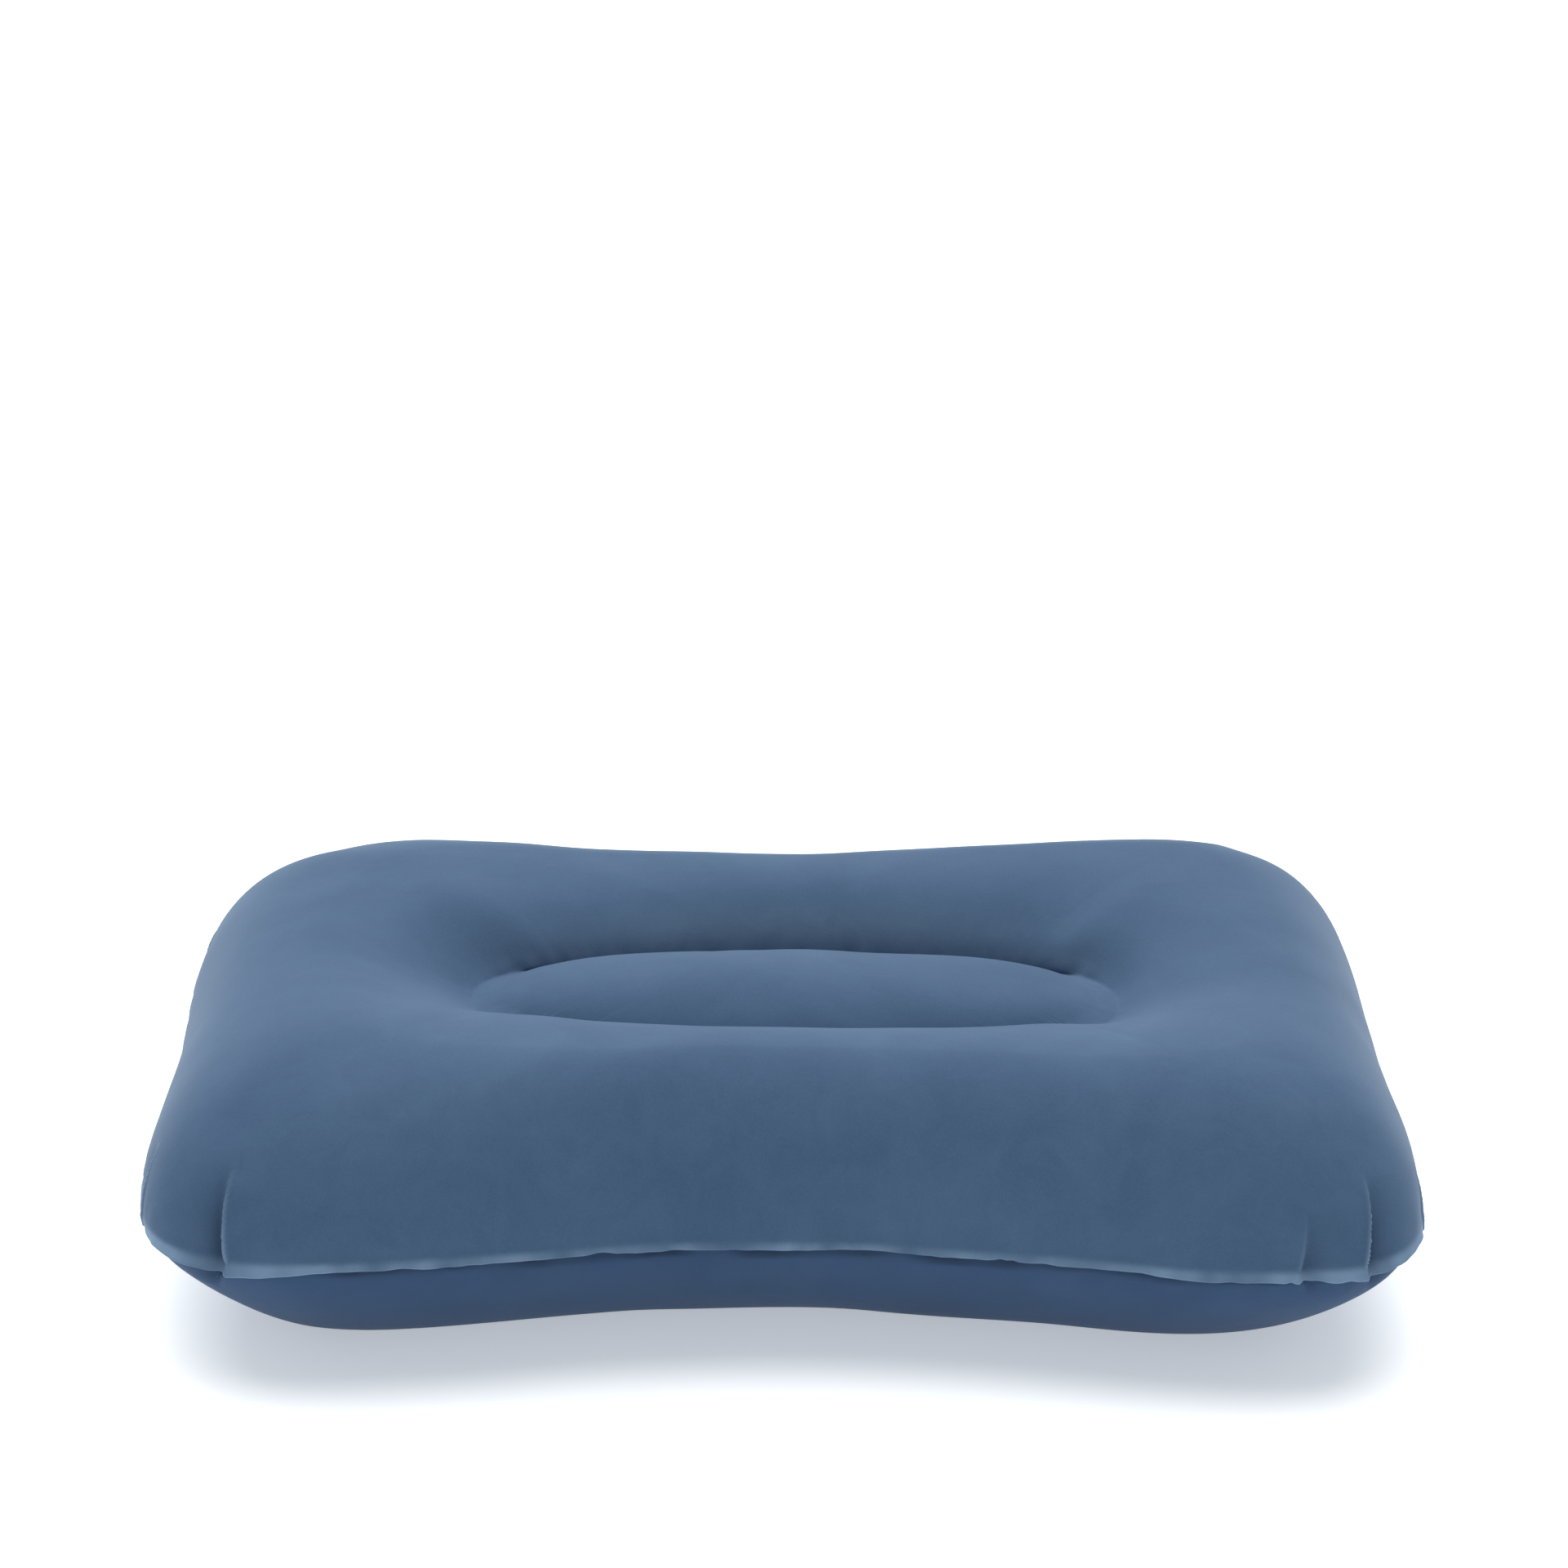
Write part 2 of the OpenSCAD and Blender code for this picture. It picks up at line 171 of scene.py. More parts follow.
def wave(s, short, long, seed):
    """Smooth closed wobble along the seam, about 1 high, with lengths between short and long."""
    rng = np.random.default_rng(seed)
    ks = np.arange(max(1, int(PERIMETER / long)), int(PERIMETER / short) + 1)
    total = sum(np.sin(2 * np.pi * k * s / PERIMETER + p) * w
                for k, p, w in zip(ks, rng.uniform(0, 2 * np.pi, len(ks)), rng.normal(0, 1, len(ks))))
    return total / math.sqrt(len(ks) / 2)


def drift(p, length, seed, terms=14):
    """Smooth wobble through space, about 1 high, with lengths around length."""
    rng = np.random.default_rng(seed)
    total = 0
    for _ in range(terms):
        d = rng.normal(0, 1, 3)
        d *= 2 * np.pi / (length * rng.uniform(0.7, 1.4)) / np.linalg.norm(d)
        total = total + np.sin(p @ d + rng.uniform(0, 2 * np.pi))
    return total / math.sqrt(terms / 2)


# ---------------------------------------------------------------- rows of the two sheets
def on_plan(i, share):
    """Point in plan between the seam, at share 0, and the oval weld, at share 1."""
    share = np.asarray(share)[..., None]
    return seam_pt(i) * (1 - share) + crease_pt(i, CREASE_W / 2) * share


def lifted(p, z):
    return np.concatenate([p, np.broadcast_to(np.asarray(z, float), p.shape[:-1])[..., None]], -1)


def endness(i):
    """0 at the middle of the long sides, rising to 1 at the ends."""
    return (seam_pt(i)[..., 0] / HALF_L) ** 2


def cornerness(i):
    """1 at the corners, falling to 0 at the middle of each side."""
    u, v = square_pt(i)
    return np.minimum(np.abs(u), np.abs(v)) ** 2


def at_tip(i):
    """1 for columns that end at a tip of the oval, 0 along its sides. The hollow off each tip opens to the
    front."""
    x, y = np.moveaxis(crease_pt(i, 0) - np.array([CREASE_X, 0]), -1, 0)
    start = np.where(y > 0, np.where(x > 0, TIP_BACK_RIGHT, TIP_BACK_LEFT), TIP_FRONT)
    return smooth(np.abs(x) / CREASE_L, start, 1.0)


def crease_z(i):
    """Height of the oval weld, which rises gently from the middle of its sides to its tips."""
    tipward = np.abs(crease_pt(i, 0)[..., 0] - CREASE_X) / CREASE_L
    return TOP_CREASE + TIP_LIFT * smooth(tipward, LIFT_FROM, LIFT_TO)


def by_corner(i, back_right, back_left, front_right, front_left):
    """The value for the corner nearest to each column."""
    u, v = square_pt(i)
    return np.where(v > 0, np.where(u > 0, back_right, back_left), np.where(u > 0, front_right, front_left))


def rim_share(i):
    """The rim's place between seam and oval; the corners aren't all equally full."""
    return RIM_AT + by_corner(i, -0.082, 0.040, -0.03, 0.03) * cornerness(i)


def low_share(i):
    """The lowest line's place between seam and oval."""
    return LOW_AT - (LOW_CORNER + by_corner(i, -0.010, 0.012, -0.010, 0.022)) * cornerness(i)


def rim_z(i):
    """Height of the rim: lower along the long sides, with a slight slump behind and left of the middle."""
    _, v = square_pt(i)
    slump = np.where(v > 0, SLUMP * np.exp(-((seam_pt(i)[..., 0] - SLUMP_X) / SLUMP_REACH) ** 2), 0)
    tip = endness(i) ** 4 * np.cos(np.pi / 2 * np.abs(v)) ** 2
    dip = FRONT_DIP * np.where(v > 0, BACK_DIP, 1)
    return TOP_Z - SHEET - dip * (1 - endness(i)) - END_DIP * tip - slump


def low_z(i):
    """Height of the lowest line. The underside rests flat wherever this is below SHEET."""
    _, v = square_pt(i)
    return SHEET + BASE_LIFT * np.where(v < 0, FRONT_LIFT, 1) * (1 - endness(i)) - REST_DEPTH


def sin(a):
    return max(0.0, math.sin(math.radians(a)))


def cos(a):
    return max(0.0, math.cos(math.radians(a)))


def nicks(s, count=46):
    """Depth of the small uneven cuts along the trimmed edge of the lip."""
    rng = np.random.default_rng(9)
    places = rng.uniform(0, PERIMETER, count)
    depths = rng.uniform(0.1, 0.75, count)
    widths = rng.uniform(0.7, 4.0, count)
    total = 0
    for at, depth, wide in zip(places, depths, widths):
        total = total + depth * np.exp(-(apart(s, at) / wide) ** 2)
    return total


def lip_row(i, s, out):
    """Points on the lip, from the seam at out 0 to its edge at 1. Its width and droop wander, and step at
    each tuck."""
    width = MARGIN * (LIP_MID + LIP_CORNER * cornerness(i)
                      + 0.05 * wave(s, 40, 160, 3) + 0.012 * wave(s, 6, 14, 4)) - nicks(s)
    side = smooth(np.abs(seam_out(i)[..., 0]), 0.45, 0.95)
    droop = DROOP + SIDE_DROOP * side + 0.09 * wave(s, 40, 160, 5) + 0.03 * wave(s, 8, 20, 6)
    for at, (_, _, _, soft_side) in zip(tuck_s, TUCKS):
        d = apart(s, at) * -soft_side
        step = smooth(d, -0.7, 0.7) * np.exp(-np.clip(d, 0, None) / 14)
        droop = droop + 0.22 * step - 0.15 * smooth(-d, -0.7, 0.7) * np.exp(-np.clip(-d, 0, None) / 10)
        width = width * (1 + 0.16 * step)
    flat = seam_pt(i) + (out * width * np.cos(droop))[:, None] * seam_out(i)
    return lifted(flat, SEAM_Z + 0.25 * wave(s, 50, 160, 8) - out * width * np.sin(droop))


def wall_row(i, a):
    """From the seam, at angle 0, up to the rim, at 90."""
    mid_side = smooth(np.abs(seam_out(i)[..., 0]), 0.6, 1.0)
    share = rim_share(i) * (1 - cos(a) ** (1.2 - 0.12 * mid_side))
    return lifted(on_plan(i, share), SEAM_Z + (rim_z(i) - SEAM_Z) * sin(a) ** 1.2)


def fall_row(i, a):
    """From the rim into the oval weld: a full round side along it, and an open hollow off its tips."""
    t = sin(a) ** 0.9
    drop = cos(a) * (1 - at_tip(i)) + max(0, 1 - t ** 1.9) ** 1.15 * at_tip(i)
    share = rim_share(i) + (1 - rim_share(i)) * t
    return lifted(on_plan(i, share), crease_z(i) + (rim_z(i) - crease_z(i)) * drop)


def under_row(i, a):
    """From the seam down to the lowest line."""
    return lifted(on_plan(i, low_share(i) * (1 - cos(a) ** 1.75)),
                  np.maximum(SHEET, SEAM_Z + (low_z(i) - SEAM_Z) * sin(a) ** 1.3))


def inner_row(i, a):
    """From the lowest line in to the oval weld of the underside."""
    return lifted(on_plan(i, low_share(i) + (1 - low_share(i)) * sin(a)),
                  np.maximum(SHEET, BASE_CREASE + (low_z(i) - BASE_CREASE) * cos(a) ** 1.3))


def cushion_row(i, share, z, rise):
    """Ring of the domed middle, from the weld at share 1 towards the middle at 0."""
    return lifted(share * crease_pt(i, -CREASE_W / 2), z + rise * (1 - share * share) ** 0.7 + 0 * i)


# ---------------------------------------------------------------- work on grids of rows
def normals(p):
    """Unit normals of a grid of rows that close round on themselves."""
    along = np.roll(p, -1, 1) - np.roll(p, 1, 1)
    n = np.cross(along, np.gradient(p, axis=0))
    return n / np.maximum(np.linalg.norm(n, axis=-1, keepdims=True), 1e-9)


def rounded(p, first, last, times):
    """Eases the fold between rows first and last, as soft sheet does."""
    p = p.copy()
    for _ in range(times):
        p[first:last] = 0.5 * p[first:last] + 0.25 * (p[first - 1:last - 1] + p[first + 1:last + 1])
    return p


def blurred(grid, times):
    """The grid smoothed along its rows and round its closed columns."""
    for _ in range(times):
        grid = 0.5 * grid + 0.25 * (np.roll(grid, 1, 1) + np.roll(grid, -1, 1))
        edge = np.concatenate([grid[:1], grid, grid[-1:]])
        grid = 0.5 * grid + 0.25 * (edge[:-2] + edge[2:])
    return grid


def measured(rows, lips, outer, inner):
    """Distances over the sheet from the seam, negative on the lip, and from the oval weld."""
    steps = np.linalg.norm(np.diff(rows, axis=0), axis=-1)
    run = np.concatenate([np.zeros((1, rows.shape[1])), np.cumsum(steps, 0)])
    return run - run[lips - 1], np.abs(run - run[lips + outer + inner])


def tuck_depth(s, height, lean=0.31, soft=5.5, crisp=0.7, deepen=1.3, ridge=0.24):
    """How far the tucks draw the sheet in, and how far they raise it, at distance s along the seam and
    height up the wall. Each leans over, and has a crisp ridge beside a soft hollow."""
    drawn, raised = (np.zeros(np.broadcast(s, height).shape) for _ in range(2))
    for at, (_, top, depth, side) in zip(tuck_s, TUCKS):
        d = (apart(s, at) - lean * height * side) * side
        fade = np.clip(1 - height / top, 0, 1) ** 0.6
        past = np.clip(d, 0, None)
        drawn += fade * depth * np.exp(-past / soft) * (1 - np.exp(-past / crisp)) * deepen
        raised += fade * depth * ridge * np.where(d < 0, np.exp(-(d / 1.1) ** 2), np.exp(-past / 0.4))
    return drawn, raised


def tucked(n, i, s, along, lips, outer, reach, full_fold=3.2, full_ridge=0.9):
    """Shift of each point where the corner tucks draw the sheet and its lip in, and how deep in a fold and
    how high on a ridge it is, from 0 to 1."""
    rows = np.arange(len(n))[:, None]
    sideways = lifted(seam_out(i), 0)
    w = smooth(along, 0, 6)[..., None]
    drawn, raised = tuck_depth(np.broadcast_to(s, along.shape), np.clip(along, 0, 60) * reach)
    near = np.clip(1 + 0.6 * along / MARGIN, 0.4, 1) * (rows < lips + outer)
    fold = np.clip(drawn / full_fold, 0, 1) * near
    ridge = np.clip(raised / full_ridge, 0, 1) * near
    return ((raised - drawn) * near)[..., None] * (sideways * (1 - w) + n * w), fold, ridge


def grid_faces(rows, cols, keep=None):
    """Four-sided faces between the rows, closed round the columns; keep marks the cells that have one."""
    r, c = np.meshgrid(np.arange(rows - 1), np.arange(cols), indexing="ij")
    a = r * cols + c
    b = r * cols + (c + 1) % cols
    f = np.stack([a, b, b + cols, a + cols], -1).reshape(-1, 4)
    return f if keep is None else f[keep.reshape(-1)]


def make_mesh(name, verts, faces, attributes=None):
    mesh = bpy.data.meshes.new(name)
    mesh.from_pydata([tuple(v) for v in verts], [], [tuple(int(k) for k in f) for f in faces])
    mesh.validate()
    mesh.update()
    mesh.polygons.foreach_set("use_smooth", [True] * len(mesh.polygons))
    for key, values in (attributes or {}).items():
        layer = mesh.attributes.new(key, "FLOAT", "POINT")
        layer.data.foreach_set("value", np.asarray(values, np.float32))
    obj = bpy.data.objects.new(name, mesh)
    bpy.context.scene.collection.objects.link(obj)
    return obj


def closed_sheet(name, p, keep, attributes, flip):
    """Mesh of the rows, closed by a fan in the middle."""
    rows, cols = p.shape[:2]
    last, mid = (rows - 1) * cols, rows * cols
    verts = np.concatenate([p.reshape(-1, 3), [p[-1].mean(0)]])
    fan = [[last + k, last + (k + 1) % cols, mid] for k in range(cols)]
    faces = grid_faces(rows, cols, keep).tolist() + fan
    if flip:
        faces = [f[::-1] for f in faces]
    attributes = {key: np.append(values.reshape(-1), 0) for key, values in attributes.items()}
    return make_mesh(name, verts * MM, faces, attributes)


def inflated(p, n, welds, flip, frames=16, pressure=4.0, slack=0.006, share=0.32, cap=0.7):
    """Lets a coarser copy of the sheet fill with air as cloth held at its welds, and gives how far each
    point settles along its normal, in mm. The overall swelling is left out: the shape already has it."""
    rows = np.unique(np.concatenate([np.arange(0, len(p), 2), [welds[0] - 1, welds[1], len(p) - 1]]))
    cols = np.arange(0, p.shape[1], 4)
    coarse, normal = p[rows][:, cols], n[rows][:, cols]
    faces = grid_faces(len(rows), len(cols))
    cloth = make_mesh("settling_sheet", coarse.reshape(-1, 3) * MM, faces[:, ::-1] if flip else faces)
    held = (rows < welds[0]) | (rows == welds[1])
    group = cloth.vertex_groups.new(name="welded")
    pinned = [int(r) * len(cols) + c for r in np.flatnonzero(held) for c in range(len(cols))]
    group.add(pinned, 1.0, "REPLACE")
    mod = cloth.modifiers.new("air", "CLOTH")
    mod.settings.quality = 6
    mod.settings.mass = 0.2
    mod.settings.tension_stiffness = 30
    mod.settings.compression_stiffness = 30
    mod.settings.shear_stiffness = 12
    mod.settings.bending_stiffness = 1.5
    mod.settings.use_pressure = True
    mod.settings.uniform_pressure_force = pressure
    mod.settings.shrink_min = -slack
    mod.settings.vertex_group_mass = "welded"
    mod.settings.effector_weights.gravity = 0
    mod.collision_settings.use_collision = False
    scene = bpy.context.scene
    for f in range(1, frames + 1):
        scene.frame_set(f)
    done = cloth.evaluated_get(bpy.context.evaluated_depsgraph_get()).to_mesh()
    at = np.empty(len(done.vertices) * 3, np.float32)
    done.vertices.foreach_get("co", at)
    scene.frame_set(1)
    bpy.data.objects.remove(cloth, do_unlink=True)
    moved = ((at.reshape(coarse.shape) / MM - coarse) * normal).sum(-1)
    moved = share * (blurred(moved, 2) - blurred(moved, 40))
    moved = cap * np.tanh(moved / cap) * (1 - smooth(rows, len(p) - 16, len(p) - 6))[:, None]
    across = np.array([np.interp(np.arange(len(p)), rows, moved[:, c]) for c in range(len(cols))]).T
    ring = np.append(cols, p.shape[1])
    full = np.array([np.interp(np.arange(p.shape[1]), ring, np.append(r, r[0])) for r in across])
    return blurred(full, 3)


# ---------------------------------------------------------------- the valve's frame, from the CAD's joints
joints = {j["name"]: j for j in frame["joints"]}
AXIS = np.array(joints["stem_pull"]["axis"], float)
AXIS /= np.linalg.norm(AXIS)
UP = np.array(joints["plug_swing"]["axis"], float)
UP /= np.linalg.norm(UP)
RIGHT = np.cross(UP, AXIS)
# The strap's bend, measured from the middle of the seat, and the radius of the hole under the flange
BEND_X, BEND_Z, HOLE_R = 9.1, 3.2, 10.6
VALVE = np.array(joints["plug_swing"]["pos_m"], float) / MM - BEND_X * RIGHT - BEND_Z * AXIS


def flat_seat(p, flat_r=15.6, free_r=30, shoulder_r=18.5, reach=14, under=0.12):
    """Draws the wall onto the valve's flat seat, with a soft shoulder around it."""
    q = p - VALVE
    x, y, a = q @ RIGHT, q @ UP, q @ AXIS
    r = np.hypot(x, y)
    w = (1 - smooth(r, flat_r, free_r)) * (np.abs(a) < reach)
    shoulder = 0.5 * np.exp(-((r - shoulder_r) / 3.0) ** 2) * (np.abs(a) < reach)
    return p + ((-under - a) * w + shoulder)[..., None] * AXIS


# ---------------------------------------------------------------- the two sheets
def build_top():
    i, s = columns()
    lips = [1.06, 1.0, 0.86, 0.7, 0.5, 0.3, 0.12, 0.0]
    wall_count, fall_count, dome_count = 38, 28, 20
    walls = [90 * (k / wall_count) ** 1.12 for k in range(1, wall_count + 1)]
    falls = [90 * k / fall_count for k in range(1, fall_count + 1)]
    shares = [1 - (k / dome_count) for k in range(dome_count)]
    crease = len(lips) + len(walls) + len(falls)
    rows = [lip_row(i, s, out) for out in lips]
    rows += [wall_row(i, a) for a in walls]
    rows += [fall_row(i, a) for a in falls]
    rows += [lifted(crease_pt(i, 0), crease_z(i))]
    rows += [cushion_row(i, share, TOP_CREASE + (crease_z(i) - TOP_CREASE) * share ** 2, RISE)
             for share in shares]
    p = rounded(np.array(rows), 2, len(lips) + 9, 5)
    p += (rounded(p, crease - 8, crease + 3, 4) - p) * smooth(at_tip(i), 0.08, 0.6)[:, None]
    n = normals(p)
    along, from_weld = measured(p, len(lips), len(walls), len(falls))
    ss = np.broadcast_to(s, along.shape)
    shift, fold, ridge = tucked(n, i, s, along, len(lips), len(walls), 1)

    # Puckers beside the oval weld, gathers above the lip, and the slight unevenness of any inflated sheet
    inside = (np.arange(len(p)) > crease)[:, None]
    fine = wave(ss, 4.5, 9, 11) * 0.10 * inside * (1 - 0.8 * at_tip(i))
    wide = wave(ss, 16, 40, 12) * 0.2 * (1 - 0.9 * at_tip(i))
    push = (fine + wide) * np.exp(-((from_weld - 3.0) / 4.0) ** 2)
    gathers = wave(ss, 6, 13, 21) * 0.06 + wave(ss, 14, 40, 22) * 0.15
    push += gathers * np.exp(-((along - 3) / 5.0) ** 2)
    push += 0.22 * drift(p, 85, 31) + 0.08 * drift(p, 38, 32) * smooth(along, 4, 20)
    push += inflated(p, n, (len(lips), crease), False)
    thick = SHEET * 0.75 * (np.arange(len(p)) > 0)[:, None]
    p = p + n * (thick + push * smooth(along, 0, 4) * smooth(from_weld, 0.6, 3.0))[..., None] + shift
    p = flat_seat(p)

    # The cells under the valve's flange are left out
    q = p - VALVE
    whole = (np.hypot(q @ RIGHT, q @ UP) >= HOLE_R) | (np.abs(q @ AXIS) >= 3)
    whole = whole & np.roll(whole, -1, 1)
    keep = whole[:-1] & whole[1:]

    # Where the flock is pressed by the weld, and where light is painted in: a painted highlight on the lip
    # and on the tucks' ridges, and painted light on the wall of the hollow round the oval, which lifts its
    # shade
    weld = np.exp(-(from_weld / 1.8) ** 2) * (1 - 0.85 * at_tip(i))
    # Painted highlight on the lip, stronger at the corners and uneven along the seam, and on the tucks'
    # ridges
    bright = 0.55 + 0.45 * cornerness(i) + 0.14 * wave(s, 25, 90, 56) + 0.10 * wave(s, 8, 20, 57)
    painted_light = np.maximum(smooth(-along, -1.2, 2.2) * bright, ridge ** 1.5) * (1 - 0.7 * fold)
    # Painted light on the wall of the hollow round the oval, near its middle and near the weld, lifting the
    # shade
    wall = 0.42 * np.exp(-(crease_pt(i, 0)[:, 0] / 72) ** 2) * smooth(-from_weld, -28, -9)
    hollow = np.maximum(wall, 0.34 * smooth(-from_weld, -14, -5)) * (1 - at_tip(i)) * ~inside
    painted_light = np.clip(painted_light + hollow, 0, 1)
    return closed_sheet("flocked_top_sheet", p, keep, {"painted_light": painted_light, "weld": weld, "fold": fold}, False)


def build_bottom():
    i, s = columns()
    lips = [1.06, 1.0, 0.8, 0.55, 0.3, 0.12, 0.0]
    under_count, inner_count, dome_count = 26, 22, 12
    unders = [90 * (k / under_count) ** 1.1 for k in range(1, under_count + 1)]
    inners = [90 * k / inner_count for k in range(1, inner_count + 1)]
    shares = [1 - (k / dome_count) for k in range(dome_count)]
    crease = len(lips) + len(unders) + len(inners)
    rows = [lip_row(i, s, out) for out in lips]
    rows += [under_row(i, a) for a in unders]
    rows += [inner_row(i, a) for a in inners]
    rows += [lifted(crease_pt(i, 0), BASE_CREASE + 0.4 + 0 * i)]
    rows += [cushion_row(i, share, BASE_CREASE, BASE_RISE) for share in shares]
    p = np.array(rows)
    n = -normals(p)
    along, from_weld = measured(p, len(lips), len(unders), len(inners))
    ss = np.broadcast_to(s, along.shape)
    shift, fold, _ = tucked(n, i, s, along, len(lips), len(unders), 2.2)

    # Puckers, gathers and unevenness, as on the top sheet
    puckers = wave(ss, 5, 12, 41) * 0.12 + wave(ss, 16, 34, 42) * 0.25
    push = puckers * np.exp(-((from_weld - 3.5) / 5.5) ** 2)
    gathers = wave(ss, 6, 13, 51) * 0.06 + wave(ss, 14, 40, 52) * 0.2
    push += gathers * np.exp(-((along - 4) / 5.0) ** 2)
    push += 0.3 * drift(p, 85, 61) * smooth(along, 3, 20)
    push += inflated(p, n, (len(lips), crease), True)
    row = np.arange(len(p))[:, None]
    thick = SHEET * 0.75 * np.where(along < 0, smooth(-along, 0.0, 1.2), smooth(along, 0, 3.5)) * (row > 0)
    p = p + n * (thick + push * smooth(along, 0.3, 4) * smooth(from_weld, 0.6, 3.0))[..., None] + shift
    p[..., 2] = np.maximum(p[..., 2], 0.0)

    # Shade in the gap under the lip, deeper in some places than in others
    weld = np.exp(-(from_weld / 2.2) ** 2)
    depth = np.clip(0.75 + 0.3 * wave(ss, 20, 60, 54), 0.2, 1)
    shade = np.exp(-(np.clip(along - 4.4, 0, None) / 1.0) ** 2) * depth
    # The underside has no painted light; its painted shade under the lip goes in with the folds' painted
    # shade
    attributes = {"painted_light": 0 * along, "weld": weld, "fold": np.maximum(shade, fold)}
    return closed_sheet("flocked_bottom_sheet", p, None, attributes, True)


# ---------------------------------------------------------------- shapes for the band and the valve
def at_valve(x, y, a):
    """World point, in metres, of a place in the valve's own frame, in mm."""
    return (VALVE + np.multiply.outer(x, RIGHT) + np.multiply.outer(y, UP) + np.multiply.outer(a, AXIS)) * MM


def eased(points, radius, steps=4):
    """The closed outline with each corner rounded off."""
    pts = [np.array(q, float) for q in points]
    out = []
    for k, q in enumerate(pts):
        before, after = pts[k - 1] - q, pts[(k + 1) % len(pts)] - q
        cut = min(radius, 0.45 * np.linalg.norm(before), 0.45 * np.linalg.norm(after))
        a = q + before / np.linalg.norm(before) * cut
        b = q + after / np.linalg.norm(after) * cut
        for t in np.linspace(0, 1, steps + 1):
            out.append((1 - t) ** 2 * a + 2 * t * (1 - t) * q + t * t * b)
    return np.array(out)


def eased_to_axis(points, radius):
    """The outline with its corners rounded off, apart from its first and last points, on the axis."""
    return np.concatenate([[points[0]], eased(points[1:-1], radius)[2:-2], [points[-1]]])


def lathe(profile, around=96, centre=(0, 0)):
    """Vertices and faces of a closed outline, radius and height, spun about the valve's axis."""
    turn = np.arange(around) * 2 * np.pi / around
    r, a = profile[:, 0], profile[:, 1]
    x = np.multiply.outer(r, np.cos(turn)) + centre[0]
    y = np.multiply.outer(r, np.sin(turn)) + centre[1]
    height = np.broadcast_to(a[:, None], x.shape)
    p = VALVE + x[..., None] * RIGHT + y[..., None] * UP + height[..., None] * AXIS
    faces = []
    for k in range(len(profile)):
        m = (k + 1) % len(profile)
        if r[k] < 1e-6 and r[m] < 1e-6:
            continue
        for j in range(around):
            q = (j + 1) % around
            faces.append([k * around + j, k * around + q, m * around + q, m * around + j])
    return p.reshape(-1, 3) * MM, faces


def ribbon(path, width, thick, edge=0.25):
    """Vertices and faces of a strap along a path of places (x, a) in the valve's frame, with eased edges."""
    path = np.array(path, float)
    tangent = np.gradient(path, axis=0)
    tangent /= np.linalg.norm(tangent, axis=1, keepdims=True)
    normal = np.stack([-tangent[:, 1], tangent[:, 0]], 1)
    w, t = width / 2, thick / 2
    section = eased([(-w, -t), (w, -t), (w, t), (-w, t)], edge, 3)
    rows = []
    for q, nn in zip(path, normal):
        at = q[None] + section[:, 1:2] * nn[None]
        rows.append(at_valve(at[:, 0], section[:, 0], at[:, 1]))
    k = len(section)
    faces = [[r * k + c, r * k + (c + 1) % k, (r + 1) * k + (c + 1) % k, (r + 1) * k + c]
             for r in range(len(path) - 1) for c in range(k)]
    faces += [list(range(k))[::-1], [(len(path) - 1) * k + c for c in range(k)]]
    return np.concatenate(rows), faces


def curve_between(points, count):
    """Smooth path of count points from the first of the given points to the last, past the others."""
    pts = np.array(points, float)
    t = np.concatenate([[0], np.cumsum(np.linalg.norm(np.diff(pts, axis=0), axis=1))])
    at = np.linspace(0, t[-1], count)
    out = np.stack([np.interp(at, t, pts[:, k]) for k in range(2)], 1)
    for _ in range(12):
        out[1:-1] = 0.5 * out[1:-1] + 0.25 * (out[:-2] + out[2:])
    return out


def solid(name, parts, material):
    """One object from several sets of vertices and faces, its doubled points merged."""
    verts, faces = [], []
    for v, f in parts:
        faces += [[k + len(verts) for k in face] for face in f]
        verts += [tuple(q) for q in v]
    obj = make_mesh(name, verts, faces)
    bm = bmesh.new()
    bm.from_mesh(obj.data)
    bmesh.ops.remove_doubles(bm, verts=bm.verts, dist=1e-6)
    bmesh.ops.dissolve_degenerate(bm, edges=bm.edges, dist=1e-7)
    bmesh.ops.recalc_face_normals(bm, faces=bm.faces)
    bm.to_mesh(obj.data)
    bm.free()
    obj.data.polygons.foreach_set("use_smooth", [True] * len(obj.data.polygons))
    obj.data.materials.append(material)
    return obj


# ---------------------------------------------------------------- materials
def srgb(r, g, b):
    """Linear colour from sRGB values of 0 to 255."""
    def lin(c):
        c /= 255
        return c / 12.92 if c <= 0.04045 else ((c + 0.055) / 1.055) ** 2.4
    return (lin(r), lin(g), lin(b), 1.0)


